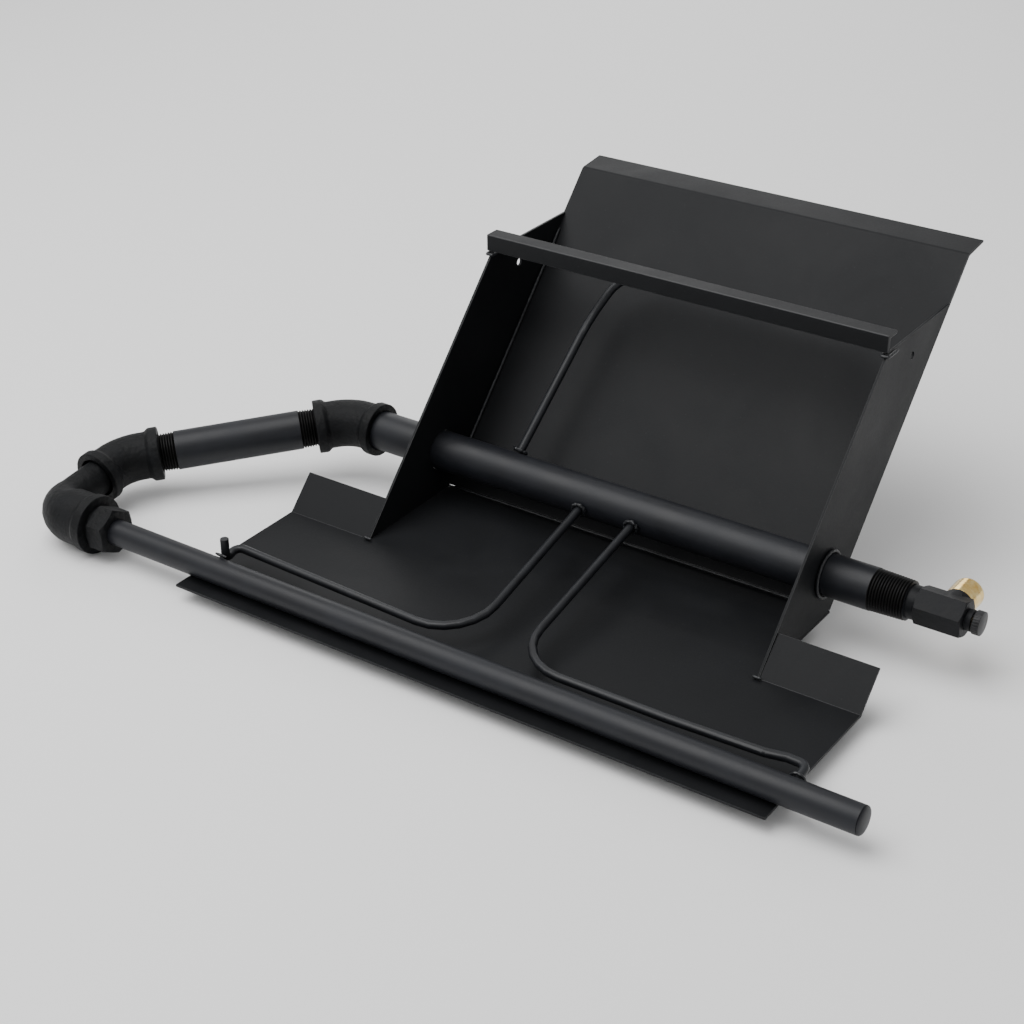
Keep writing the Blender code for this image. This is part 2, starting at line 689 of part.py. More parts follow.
def valve_body():
    """The hexagonal valve: a nose in the plug, a round collar, the hexagon and a branch to the back."""
    hex_place = facing((VALVE_HEX_LEFT, MAIN_Y, MAIN_Z), X)
    length = VALVE_RIGHT - VALVE_HEX_LEFT
    body = hexagon("valve_body", VALVE_HEX, length, VALVE_HEX_TURN, hex_place, VALVE_BLACK)
    collar_start = MAIN_RIGHT + GAP
    nose_start = MAIN_RIGHT - NOSE_LENGTH
    neck = VALVE_HEX_LEFT + BUSHING_STANDOFF - nose_start
    step = collar_start - nose_start
    collar = turned(
        "valve_collar",
        [(0, neck), (COLLAR_RADIUS, neck), (COLLAR_RADIUS, step), (NOSE_RADIUS, step)]
        + [(NOSE_RADIUS, 0), (0, 0)],
        facing((nose_start, MAIN_Y, MAIN_Z), X),
        None,
        PIPE_SIDES,
        CUTTERS,
    )
    combine(body, collar, "UNION")
    branch_length = BRANCH_END - MAIN_Y
    branch = turned(
        "valve_branch",
        [(0, branch_length), (BRANCH_RADIUS, branch_length), (BRANCH_RADIUS, 0), (0, 0)],
        facing((BRANCH_X, MAIN_Y, MAIN_Z), Y),
        None,
        PIPE_SIDES,
        CUTTERS,
    )
    combine(body, branch, "UNION")
    passage = STEM_RADIUS + GAP
    through = turned(
        "valve_passage",
        [(0, 3 * length), (passage, 3 * length), (passage, 0), (0, 0)],
        facing((nose_start - GAP, MAIN_Y, MAIN_Z), X),
        None,
        16,
        CUTTERS,
    )
    combine(body, through, "DIFFERENCE")
    socket = SPIGOT_RADIUS + GAP
    over = 2 * (BRANCH_END - MAIN_Y)
    side_bore = turned(
        "valve_side_bore",
        [
            (0, over),
            (socket, over),
            (socket, SPIGOT_START),
            (CROSS_PASSAGE, SPIGOT_START),
            (CROSS_PASSAGE, 0),
            (0, 0),
        ],
        facing((BRANCH_X, MAIN_Y, MAIN_Z), Y),
        None,
        24,
        CUTTERS,
    )
    return combine(body, side_bore, "DIFFERENCE")


def brass_fitting():
    """The brass hose connection: a spigot in the branch and a thick collar with a socket for the hose."""
    start = MAIN_Y + SPIGOT_START + GAP
    shoulder = BRANCH_END + GAP - start
    length = BRASS_END - start
    edge = BRANCH_RADIUS
    crown = 0.0034
    socket_floor = length - HOSE_SOCKET_DEPTH
    profile = [
        (HOSE_SOCKET_RADIUS, length),
        (edge - crown, length),
        (edge - 0.5 * crown, length - 0.13 * crown),
        (edge - 0.13 * crown, length - 0.5 * crown),
        (edge, length - crown),
        (edge, shoulder),
        (SPIGOT_RADIUS, shoulder),
        (SPIGOT_RADIUS, 0),
        (HOSE_PASSAGE, 0),
        (HOSE_PASSAGE, socket_floor),
        (HOSE_SOCKET_RADIUS, socket_floor),
    ]
    return turned("brass_hose_fitting", profile, facing((BRANCH_X, start, MAIN_Z), Y), BRASS)


def gas_jet():
    """The small brass jet on the valve's nose, inside the main pipe, that meters the gas."""
    length = 0.008
    cone = 0.003
    profile = [
        (JET_HOLE, length),
        (JET_RADIUS, length),
        (JET_RADIUS, cone),
        (JET_RADIUS / 2, 0),
        (JET_HOLE, 0),
    ]
    right = MAIN_RIGHT - NOSE_LENGTH - GAP
    return turned("gas_jet", profile, facing((right - length, MAIN_Y, MAIN_Z), X), BRASS, 16)


def packing_nut():
    """The ring that keeps the stem's packing in the valve's end."""
    hole = STEM_RADIUS + GAP
    chamfer = 0.0005
    profile = [
        (hole, NUT_WIDTH),
        (NUT_RADIUS - chamfer, NUT_WIDTH),
        (NUT_RADIUS, NUT_WIDTH - chamfer),
        (NUT_RADIUS, 0),
        (hole, 0),
    ]
    return turned("packing_nut", profile, facing((VALVE_RIGHT + GAP, MAIN_Y, MAIN_Z), X), VALVE_BLACK, 24)


def valve_stem():
    """The stem, pointed at its inner end, which carries the knob and closes the gas passage."""
    left = VALVE_HEX_LEFT
    length = KNOB_LEFT + KNOB_SOCKET - GAP - left
    point = 0.008
    profile = [(0, length), (STEM_RADIUS, length), (STEM_RADIUS, point), (STEM_RADIUS / 4, 0), (0, 0)]
    return turned("valve_stem", profile, facing((left, MAIN_Y, MAIN_Z), X), BRASS, 16)


def valve_knob():
    """The round knob at the end of the stem."""
    length = KNOB_RIGHT - KNOB_LEFT
    edge = 0.0012
    hole = STEM_RADIUS + GAP
    profile = [
        (0, length),
        (KNOB_RADIUS - edge, length),
        (KNOB_RADIUS, length - edge),
        (KNOB_RADIUS, edge),
        (KNOB_RADIUS - edge, 0),
        (hole, 0),
        (hole, KNOB_SOCKET),
        (0, KNOB_SOCKET),
    ]
    return turned("valve_knob", profile, facing((KNOB_LEFT, MAIN_Y, MAIN_Z), X), KNOB_BLACK, PIPE_SIDES)


def shade_round(obj):
    """Smooth shading with the real edges kept crisp, on pieces that are meshes."""
    if obj.type == "MESH":
        obj.data.shade_smooth()
        obj.data.set_sharp_from_angle(angle=math.radians(35))


LOOP_X = ELBOW_X - NIPPLE_SPAN * math.cos(math.pi / 4)

clear_scene()
PARTS = collection("propane burner stand")
CUTTERS = collection("cutters")
BLACK_STEEL = material("black painted steel", (0.020, 0.021, 0.023), 0.45, 0.0)
CAST_IRON = material("black malleable iron", (0.022, 0.022, 0.023), 0.55, 0.0)
ROUND_BAR = material("black painted round bar", (0.022, 0.023, 0.025), 0.42, 0.0)
WELD_STEEL = material("painted weld bead", (0.030, 0.031, 0.033), 0.5, 0.0)
VALVE_BLACK = material("black coated valve", (0.024, 0.025, 0.027), 0.4, 0.0)
KNOB_BLACK = material("black plastic knob", (0.018, 0.018, 0.019), 0.35, 0.0)
BRASS = material("turned brass", (0.62, 0.43, 0.14), 0.3, 1.0)

tray()
back_plate()
foot_weld()
crossbar()
for end, word in ((-1, "left"), (1, "right")):
    side_plate(end, "side_plate_" + word)
    pipe_weld(end, "pipe_weld_" + word)
    seam_weld(end, "seam_weld_" + word)
    tip_weld(end, "tip_weld_" + word)
    crossbar_weld(end, "crossbar_weld_" + word)
main_pipe()
nipple()
elbow_45("elbow_upper", main_point(ELBOW_X, 0), X, nipple_direction())
lower_centre = main_point(ELBOW_X, 0) + nipple_direction() * NIPPLE_SPAN
elbow_45("elbow_lower", lower_centre, -nipple_direction(), TO_BURNER)
street_centre = BURNER + X * LOOP_X
street_elbow(street_centre, (street_centre - lower_centre).length - ELBOW_REACH + ENGAGE)
bushing()
burner_pipe()
burner_plug()
rods()
inlet_plug()
valve_body()
brass_fitting()
gas_jet()
packing_nut()
valve_stem()
valve_knob()
for piece in PARTS.objects:
    shade_round(piece)
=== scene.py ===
# %% [markdown]
# # A propane burner stand
#
# The stand is a folded steel tray with a leaning hood, welded up from sheet, with a loop of threaded
# gas pipe round one side and a needle valve at the other. The solid model already holds every piece at
# its real size. This script gives the pieces what a maker would see: rounded edges, rippled welds,
# a ribbed knob, and the right skin on each metal.

# %% Load the frame
import json
import math

import bmesh
import bpy
from mathutils import Matrix, Vector


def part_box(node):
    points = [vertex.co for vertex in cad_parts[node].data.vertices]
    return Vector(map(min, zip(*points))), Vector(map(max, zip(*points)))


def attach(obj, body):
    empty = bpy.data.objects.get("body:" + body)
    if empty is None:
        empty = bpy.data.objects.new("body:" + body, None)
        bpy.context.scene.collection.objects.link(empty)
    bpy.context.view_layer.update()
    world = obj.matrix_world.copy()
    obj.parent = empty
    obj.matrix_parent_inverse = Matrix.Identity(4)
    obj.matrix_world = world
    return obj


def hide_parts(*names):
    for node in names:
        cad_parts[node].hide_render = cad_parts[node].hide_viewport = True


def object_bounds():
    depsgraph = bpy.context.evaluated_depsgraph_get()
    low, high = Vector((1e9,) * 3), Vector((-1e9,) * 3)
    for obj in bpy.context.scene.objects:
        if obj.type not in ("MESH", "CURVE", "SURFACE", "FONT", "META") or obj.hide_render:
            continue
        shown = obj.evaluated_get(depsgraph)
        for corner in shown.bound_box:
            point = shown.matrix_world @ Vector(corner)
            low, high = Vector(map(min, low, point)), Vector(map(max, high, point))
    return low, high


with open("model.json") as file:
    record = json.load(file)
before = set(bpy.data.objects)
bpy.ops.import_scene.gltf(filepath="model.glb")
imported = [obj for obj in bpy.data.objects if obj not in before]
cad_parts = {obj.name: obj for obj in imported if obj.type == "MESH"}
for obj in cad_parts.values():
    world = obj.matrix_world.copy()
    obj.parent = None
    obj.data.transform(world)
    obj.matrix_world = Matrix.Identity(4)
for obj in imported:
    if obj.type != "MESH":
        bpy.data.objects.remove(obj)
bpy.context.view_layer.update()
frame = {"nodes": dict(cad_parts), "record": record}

# %% [markdown]
# ## The camera
#
# The view stands off to the front right, above the stand, with a lens of about twice the normal length,
# so the hood looks a little smaller at its back. The camera comes first, because everything that follows
# is judged through it. A camera looks down its own -Z, so its three axes are built from the direction
# it looks in, and then rolled by half a degree.

# %% Camera
CAMERA_PLACE = Vector((0.7319, -1.0965, 0.8284))
CAMERA_AZIMUTH = math.radians(35.04)
CAMERA_ELEVATION = math.radians(29.45)
CAMERA_ROLL = math.radians(-0.515)
LENS_MM = 71.15
SENSOR_MM = 36

level = math.cos(CAMERA_ELEVATION)
ahead = Vector((
    -math.sin(CAMERA_AZIMUTH) * level,
    math.cos(CAMERA_AZIMUTH) * level,
    -math.sin(CAMERA_ELEVATION),
))
right = ahead.cross(Vector((0, 0, 1))).normalized()
up = right.cross(ahead)
rolled_right = right * math.cos(CAMERA_ROLL) + up * math.sin(CAMERA_ROLL)
rolled_up = rolled_right.cross(ahead)
camera = bpy.data.objects.new("studio_camera", bpy.data.cameras.new("studio_camera"))
bpy.context.scene.collection.objects.link(camera)
camera.data.lens = LENS_MM
camera.data.sensor_width = SENSOR_MM
axes = Matrix((rolled_right, rolled_up, -ahead)).transposed()
camera.matrix_world = Matrix.Translation(CAMERA_PLACE) @ axes.to_4x4()
bpy.context.scene.camera = camera
print("camera looks along", [round(value, 3) for value in ahead])

# %% [markdown]
# ## Two helpers for materials
#
# Paint colours are given as hex values, the way a paint shop writes them. A screen value isn't linear
# light, so one function turns it. The other function adds one shader node with its settings and its
# links, which keeps each material short enough to read.

# %% Material helpers
def linear(code):
    """An sRGB hex value, such as #202225, as the linear colour that a shader takes."""
    shares = [int(code[place:place + 2], 16) / 255 for place in (1, 3, 5)]
    return tuple(s / 12.92 if s <= 0.04045 else ((s + 0.055) / 1.055) ** 2.4 for s in shares) + (1.0,)


def add(tree, kind, settings=None, links=None):
    """One node. A setting's name is an input socket of the node if it has one, or else a property."""
    node = tree.nodes.new(kind)
    for name, value in (settings or {}).items():
        if isinstance(name, int) or name in node.inputs:
            node.inputs[name].default_value = value
        else:
            setattr(node, name, value)
    for name, source in (links or {}).items():
        tree.links.new(source, node.inputs[name])
    return node


print("the darkest paint is", [round(value, 4) for value in linear("#1b1c1e")[:3]])

# %% [markdown]
# ## How a painted or cast skin is made
#
# The black skins on this stand share the same layers of detail, at different sizes. The widest is slow
# cloudiness in tint and gloss, from handling and uneven spraying. Under the surface lie lumps: waves in a
# sheet, the rough wall of a sand mould. Then comes the grain: orange peel in paint, sand in a casting.
# Some skins also carry dust, as small pale specks. One function builds them all, in millimetres. A noise
# pattern's scale is how many of its cells fit in a metre, so a 3 mm grain is a scale of 1000 / 3.

# %% Skin builder
def per_metre(size_mm):
    """A pattern's scale, for cells of this size in millimetres."""
    return 1000 / size_mm


def skin(name, dark, light, gloss, glint, grain, lump=(8, 0.0), cloud_mm=70, specks=0.0, metallic=0.0):
    """A procedural skin.

    Gloss is the roughness of its smoothest and its dullest places, and glint its specular level.
    Grain and lump are each a width and a height in millimetres.
    """
    made = bpy.data.materials.new(name)
    made.use_nodes = True
    tree = made.node_tree
    shader = tree.nodes["Principled BSDF"]
    shader.inputs["Metallic"].default_value = metallic
    shader.inputs["Specular IOR Level"].default_value = glint
    place = add(tree, "ShaderNodeTexCoord").outputs["Object"]
    cloud = add(
        tree, "ShaderNodeTexNoise",
        {"Scale": per_metre(cloud_mm), "Detail": 5.0, "Roughness": 0.6, "Distortion": 0.4},
        {"Vector": place},
    ).outputs["Fac"]
    fine, coarse = (
        add(
            tree, "ShaderNodeTexNoise",
            {"Scale": per_metre(width), "Detail": 3.0, "Roughness": 0.55},
            {"Vector": place},
        ).outputs["Fac"]
        for width in (grain[0], lump[0])
    )
    tint = add(tree, "ShaderNodeValToRGB", None, {"Fac": cloud})
    tint.color_ramp.elements[0].position = 0.35
    tint.color_ramp.elements[1].position = 0.68
    tint.color_ramp.elements[0].color = linear(dark)
    tint.color_ramp.elements[1].color = linear(light)
    colour = tint.outputs["Color"]
    if specks:
        dust = add(
            tree, "ShaderNodeTexVoronoi", {"Scale": per_metre(DUST_PITCH_MM)}, {"Vector": place}
        ).outputs["Distance"]
        dot = add(
            tree, "ShaderNodeMapRange",
            {"From Min": 0.05, "From Max": 0.09, "To Min": specks, "To Max": 0.0}, {"Value": dust},
        ).outputs["Result"]
        patch = add(
            tree, "ShaderNodeMath", {"operation": "MULTIPLY"}, {0: dot, 1: cloud}
        ).outputs["Value"]
        mix = add(
            tree, "ShaderNodeMix", {"data_type": "RGBA", 7: linear(DUST_COLOUR)}, {0: patch, 6: colour}
        )
        colour = mix.outputs[2]
    tree.links.new(colour, shader.inputs["Base Color"])
    both = add(
        tree, "ShaderNodeMath", {"operation": "MULTIPLY_ADD", 1: 0.35}, {0: fine, 2: cloud}
    ).outputs["Value"]
    rough = add(
        tree, "ShaderNodeMapRange",
        {"From Min": 0.45, "From Max": 0.90, "To Min": gloss[0], "To Max": gloss[1]}, {"Value": both},
    ).outputs["Result"]
    tree.links.new(rough, shader.inputs["Roughness"])
    lumps = add(
        tree, "ShaderNodeBump", {"Strength": 1.0, "Distance": lump[1] / 1000}, {"Height": coarse}
    ).outputs["Normal"]
    bump = add(
        tree, "ShaderNodeBump",
        {"Strength": 1.0, "Distance": grain[1] / 1000}, {"Height": fine, "Normal": lumps},
    ).outputs["Normal"]
    tree.links.new(bump, shader.inputs["Normal"])
    return made


DUST_PITCH_MM = 9
DUST_COLOUR = "#5b5c5e"
print("a 3 mm grain has a scale of", round(per_metre(3)))

# %% [markdown]
# ## The skins
#
# The sheet, the pipes and the bars are sprayed with a satin black heat paint, which keeps a faint orange
# peel. The fittings are malleable iron cast in sand, so they are duller and grainier. The pipe threads are
# cut after the pipe is made and get little paint, so they look like dark oiled steel. Paint lies thick
# on a weld and leaves it glossier. The valve has a smooth factory coat, the knob is moulded plastic,
# and the hose connection is brass, turned on a lathe, with rings finer than 1 mm.

# %% Materials
SHEET_PAINT = skin(
    "satin black heat paint on sheet", "#121315", "#18191b",
    gloss=(0.44, 0.58), glint=0.16, grain=(1.6, 0.05), lump=(14, 0.05), cloud_mm=90, specks=0.10,
)
# The rounded edges get a lighter paint than the faces: thin paint on a sheared edge, with a painted
# highlight along every edge as well.
EDGE_PAINT_AND_HIGHLIGHT = skin(
    "thin black paint on a sheared edge", "#1a1b1d", "#2c2d2f",
    gloss=(0.34, 0.48), glint=0.40, grain=(0.9, 0.04), cloud_mm=12,
)
PIPE_PAINT = skin(
    "satin black heat paint on pipe", "#15161a", "#1c1e23",
    gloss=(0.38, 0.52), glint=0.30, grain=(1.3, 0.06), lump=(9, 0.06), cloud_mm=40, specks=0.08,
)
BAR_PAINT = skin(
    "satin black heat paint on drawn bar", "#17181b", "#1e2024",
    gloss=(0.36, 0.48), glint=0.34, grain=(1.0, 0.04), cloud_mm=25,
)
CAST_IRON = skin(
    "black malleable iron as cast in sand", "#08090a", "#131416",
    gloss=(0.46, 0.64), glint=0.16, grain=(0.8, 0.22), lump=(4.5, 0.9), cloud_mm=14,
)
CUT_THREAD = skin(
    "dark oiled steel of cut threads", "#060607", "#0e0d0d",
    gloss=(0.40, 0.58), glint=0.20, grain=(0.8, 0.05), cloud_mm=8, metallic=0.3,
)
WELD_PAINT = skin(
    "thick black paint over weld metal", "#16171a", "#222427",
    gloss=(0.30, 0.46), glint=0.45, grain=(0.9, 0.10), lump=(2.4, 0.25), cloud_mm=6,
)
VALVE_COAT = skin(
    "semi-gloss black coat on the valve", "#0f1012", "#18191c",
    gloss=(0.38, 0.52), glint=0.14, grain=(0.9, 0.10), lump=(4, 0.25), cloud_mm=12, specks=0.06,
)
KNOB_PLASTIC = skin(
    "moulded black plastic", "#18181a", "#202023",
    gloss=(0.36, 0.48), glint=0.28, grain=(0.5, 0.03), cloud_mm=5,
)


def turned_brass():
    """Brass off the lathe: rings round the hose axis, and a faint brown bloom on the bright metal."""
    made = bpy.data.materials.new("brass turned on a lathe")
    made.use_nodes = True
    tree = made.node_tree
    shader = tree.nodes["Principled BSDF"]
    shader.inputs["Metallic"].default_value = 1.0
    place = add(tree, "ShaderNodeTexCoord").outputs["Object"]
    bloom = add(
        tree, "ShaderNodeTexNoise", {"Scale": per_metre(BLOOM_MM), "Detail": 4.0}, {"Vector": place}
    ).outputs["Fac"]
    tint = add(tree, "ShaderNodeValToRGB", None, {"Fac": bloom})
    tint.color_ramp.elements[0].position = 0.3
    tint.color_ramp.elements[1].position = 0.7
    tint.color_ramp.elements[0].color = linear("#dcb565")
    tint.color_ramp.elements[1].color = linear("#f8e3a8")
    tree.links.new(tint.outputs["Color"], shader.inputs["Base Color"])
    rings = add(
        tree, "ShaderNodeTexWave",
        {"bands_direction": "Y", "Scale": per_metre(TOOL_FEED_MM) / WAVE_BANDS, "Distortion": 0.4},
        {"Vector": place},
    ).outputs["Fac"]
    rough = add(
        tree, "ShaderNodeMapRange", {"To Min": 0.10, "To Max": 0.22}, {"Value": bloom}
    ).outputs["Result"]
    tree.links.new(rough, shader.inputs["Roughness"])
    bump = add(
        tree, "ShaderNodeBump", {"Strength": 0.6, "Distance": TOOL_MARK_DEPTH_M}, {"Height": rings}
    ).outputs["Normal"]
    tree.links.new(bump, shader.inputs["Normal"])
    return made


TOOL_FEED_MM = 0.6  # coarser than a real 0.2 mm feed, so that it can show at all
TOOL_MARK_DEPTH_M = 0.00003
WAVE_BANDS = 20  # a Wave texture draws about this many radians of wave in one unit of its scale
BLOOM_MM = 6
BRASS = turned_brass()
print(len(bpy.data.materials), "materials")

# %% [markdown]
# ## Finishing a piece of the solid model
#
# The solid model's pieces have knife-sharp edges, and their triangles aren't joined to each other. A real
# sheared sheet or sawn pipe has a small radius that catches the light, and that thin bright line is most
# of what makes metal look real. So each piece is copied, the copy's triangles are welded together, flat
# areas are merged into single faces, and a Bevel modifier rounds what is still an edge. The copy then
# stands in for the solid one.

# %% Finisher
BODY_OF = {node: body for body, nodes in frame["record"]["behaviour"]["bodies"].items() for node in nodes}
SLOT_OF = {entry["node"]: entry["material_slot"] for entry in frame["record"]["subparts"]}


def only(piece):
    """Selects this one piece and makes it the active one."""
    bpy.ops.object.select_all(action="DESELECT")
    piece.select_set(True)
    bpy.context.view_layer.objects.active = piece


def finish_off(piece, node, *others):
    """Hangs this piece on the empty of the body it moves with, and hides the CAD pieces it stands in for.
    """
    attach(piece, BODY_OF[node])
    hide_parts(node, *others)


def merged_copy(node, name, flat_degrees=0.5):
    """A copy of a CAD piece with its triangles welded and its flat areas made single faces."""
    copy = bpy.data.objects.new(name, frame["nodes"][node].data.copy())
    bpy.context.scene.collection.objects.link(copy)
    mesh = bmesh.new()
    mesh.from_mesh(copy.data)
    bmesh.ops.remove_doubles(mesh, verts=mesh.verts, dist=WELD_DISTANCE)
    if flat_degrees:
        bmesh.ops.dissolve_limit(
            mesh, angle_limit=math.radians(flat_degrees), verts=mesh.verts, edges=mesh.edges
        )
    mesh.to_mesh(copy.data)
    mesh.free()
    copy.data.materials.clear()
    only(copy)
    bpy.ops.mesh.customdata_custom_splitnormals_clear()
    return copy


def keep_flat_faces_flat(piece):
    """Lets the big faces decide the shading at their rims, so that the bevels don't tilt it."""
    weighted = piece.modifiers.new("flat faces", "WEIGHTED_NORMAL")
    weighted.keep_sharp = True
    weighted.weight = 100
    bpy.ops.object.modifier_apply(modifier=weighted.name)


def rounded_copy(
    node, name, material, edge_mm, segments=2, sharp_degrees=32, smooth_degrees=40, edge_material=None
):
    """The piece with its edges rounded by so many millimetres, in a skin of their own if one is given."""
    piece = merged_copy(node, name)
    piece.data.materials.append(material)
    if edge_material:
        piece.data.materials.append(edge_material)
    only(piece)
    bevel = piece.modifiers.new("rounded edge", "BEVEL")
    bevel.width = edge_mm / 1000
    bevel.segments = segments
    bevel.limit_method = "ANGLE"
    bevel.angle_limit = math.radians(sharp_degrees)
    bevel.use_clamp_overlap = True
    bevel.harden_normals = False
    # The bevel's faces take the edge skin, which on the sheet and angle iron is lightened as a painted
    # highlight.
    bevel.material = 1 if edge_material else -1
    bpy.ops.object.modifier_apply(modifier=bevel.name)
    bpy.ops.object.shade_smooth_by_angle(angle=math.radians(smooth_degrees))
    keep_flat_faces_flat(piece)
    finish_off(piece, node)
    return piece


WELD_DISTANCE = 0.000002
print(len(BODY_OF), "pieces to finish")

# %% [markdown]
# ## Sheet metal and angle iron
#
# The tray, the two side plates and the back plate are 2 mm sheet. Shearing leaves an edge radius of about
# a third of a millimetre, and paint adds a little. The angle iron is hot rolled, so its corners are
# rounder.

# %% Sheet metal
SHEET_EDGE_MM = 0.45
ROLLED_EDGE_MM = 0.8
# Their rounded edges take the lighter edge paint, a painted highlight along each edge.
for node, name in (
    ("tray", "folded_tray"),
    ("side_plate_left", "hood_side_left"),
    ("side_plate_right", "hood_side_right"),
    ("back_plate", "hood_back"),
):
    rounded_copy(node, name, SHEET_PAINT, SHEET_EDGE_MM, edge_material=EDGE_PAINT_AND_HIGHLIGHT)
rounded_copy("crossbar", "hood_angle_iron", SHEET_PAINT, ROLLED_EDGE_MM, 3, edge_material=EDGE_PAINT_AND_HIGHLIGHT)
print("sheet edges rounded by", SHEET_EDGE_MM, "mm")

# %% [markdown]
# ## Pipes and threads
#
# Each pipe is one piece, but its thread has a different skin, because the thread is cut through the mill
# scale and is left almost bare. The faces of a thread are the ones that lie inside the pipe's own radius
# and beyond where the plain pipe stops, so they are picked out by place and given the second material.

# %% Pipes
MAIN_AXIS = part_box("inlet_plug")
MAIN_CENTRE = (MAIN_AXIS[0] + MAIN_AXIS[1]) / 2
PIPE_EDGE_MM = 0.35


def thread_faces(piece, start, direction, plain_radius, bore_radius):
    """Gives the second material to faces thinner than the plain pipe and outside its bore."""
    inside = bore_radius + BORE_MARGIN
    outside = plain_radius - PLAIN_MARGIN
    chosen = 0
    for face in piece.data.polygons:
        away = face.center - start
        radius = (away - direction * away.dot(direction)).length
        if inside < radius < outside and abs(face.normal.dot(direction)) < END_FACE_COSINE:
            face.material_index = 1
            chosen += 1
    return chosen


PLAIN_RADIUS = 0.0167
BORE_RADIUS = 0.0133
BORE_MARGIN = 0.0006
PLAIN_MARGIN = 0.00018
END_FACE_COSINE = 0.95  # a face that points along the pipe more than this is its end
UPPER_ELBOW_X = -0.2735
main_pipe = rounded_copy("main_pipe", "main_gas_pipe", PIPE_PAINT, PIPE_EDGE_MM, 2, 80, 30)
main_pipe.data.materials.append(CUT_THREAD)
print(thread_faces(main_pipe, MAIN_CENTRE, Vector((1, 0, 0)), PLAIN_RADIUS, BORE_RADIUS), "thread faces")

nipple = rounded_copy("nipple", "pipe_nipple", PIPE_PAINT, PIPE_EDGE_MM, 2, 80, 30)
nipple.data.materials.append(CUT_THREAD)
NIPPLE_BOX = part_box("nipple")
nipple_centre = (NIPPLE_BOX[0] + NIPPLE_BOX[1]) / 2
upper_centre = Vector((UPPER_ELBOW_X, MAIN_CENTRE.y, MAIN_CENTRE.z))
nipple_axis = (nipple_centre - upper_centre).normalized()
print(thread_faces(nipple, nipple_centre, nipple_axis, PLAIN_RADIUS, BORE_RADIUS), "thread faces")

rounded_copy("burner_pipe", "burner_pipe_with_ports", PIPE_PAINT, PIPE_EDGE_MM, 2, 60, 30)
rounded_copy("burner_end_plug", "burner_end_cap", PIPE_PAINT, 0.25, 2, 50, 60)
rounded_copy("inlet_plug", "inlet_bush", PIPE_PAINT, 0.3, 2, 50, 40)

# %% [markdown]
# ## Cast fittings
#
# A malleable iron elbow has a raised band round each mouth, to stop it splitting when a pipe is screwed
# in. Nothing on a sand casting is sharp, so the bands get a wide radius.

# %% Cast fittings
CAST_EDGE_MM = 1.1
for node, name in (
    ("elbow_upper", "banded_elbow_upper"),
    ("elbow_lower", "banded_elbow_lower"),
    ("street_elbow", "street_elbow_casting"),
):
    rounded_copy(node, name, CAST_IRON, CAST_EDGE_MM, 3, 30, 60)
rounded_copy("reducing_bushing", "hexagon_bushing", CAST_IRON, 0.7, 3, 20, 35)
print("cast edges rounded by", CAST_EDGE_MM, "mm")

# %% [markdown]
# ## Bent bars and weld beads
#
# The three brace bars were bent cold from drawn wire, so they are smooth and even. A weld bead is a row of
# small overlapping ripples, laid one by one as the torch moves. The solid model already has the
# ripples in rough form. Subdivision rounds them, and a Displace modifier with a fine cloud pattern makes
# each ripple a little different from the next.

# %% Bars and welds
for side in ("left", "right", "upper"):
    rounded_copy(f"brace_rod_{side}", f"brace_bar_{side}", BAR_PAINT, 0.3, 2, 60, 50)

ripple_pattern = bpy.data.textures.new("weld ripple", "CLOUDS")
ripple_pattern.noise_scale = 0.0026
RIPPLE_DEPTH_M = 0.0005
BLOB_DEPTH_M = 0.0022  # the bars' roots were tacked in a hurry, so their beads are lumpier


def weld_bead(node, name):
    """A weld bead, rounded and made uneven."""
    piece = merged_copy(node, name, 0)
    piece.data.materials.append(WELD_PAINT)
    only(piece)
    rounding = piece.modifiers.new("rounded ripples", "SUBSURF")
    rounding.levels = 2
    rounding.render_levels = 2
    bpy.ops.object.modifier_apply(modifier=rounding.name)
    uneven = piece.modifiers.new("uneven ripples", "DISPLACE")
    uneven.texture = ripple_pattern
    uneven.strength = BLOB_DEPTH_M if "root" in node else RIPPLE_DEPTH_M
    uneven.mid_level = 0.5
    bpy.ops.object.modifier_apply(modifier=uneven.name)
    bpy.ops.object.shade_smooth()
    finish_off(piece, node)


beads = [node for node in frame["nodes"] if SLOT_OF[node] == "painted weld bead"]
for node in sorted(beads):
    weld_bead(node, node + "_bead")
print(len(beads), "weld beads")

# %% [markdown]
# ## The valve
#
# The body is a hexagonal bar with a round branch for the hose. Its corners are chamfered by the lathe and
# its edges are softened by the coat. The stem, the packing nut and the jet are small turned pieces.

# %% Valve
rounded_copy("valve_body", "needle_valve_body", VALVE_COAT, 0.45, 3, 25, 35)
rounded_copy("packing_nut", "packing_ring", VALVE_COAT, 0.2, 2, 40, 40)
rounded_copy("valve_stem", "needle_stem", BRASS, 0.2, 2, 40, 40)
rounded_copy("gas_jet", "metering_jet", BRASS, 0.2, 2, 40, 40)
rounded_copy("brass_hose_fitting", "brass_connection", BRASS, 0.35, 3, 40, 40)

# %% [markdown]
# ## The knob
#
# A round moulded knob with fine ribs, so that fingers can grip it. It is modelled from a cylinder with one
# side face for every half rib. An inset pushes every second side face in, the two ends are drawn out and
# shrunk into a chamfer, and the outer face gets a shallow round recess.

# %% Knob
KNOB_LOW, KNOB_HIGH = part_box("valve_knob")
KNOB_RADIUS = (KNOB_HIGH.z - KNOB_LOW.z) / 2
KNOB_LENGTH = KNOB_HIGH.x - KNOB_LOW.x
KNOB_CENTRE = (KNOB_LOW + KNOB_HIGH) / 2
RIBS = 26
RIB_DEPTH = 0.00022
RIB_SHOULDER = 0.0001
END_CHAMFER = 0.0006
FACE_RIM_SHARE = 0.35  # of the knob's radius, round the shallow recess in its face
FACE_RECESS = 0.0008
MOULDED_EDGE = 0.00015

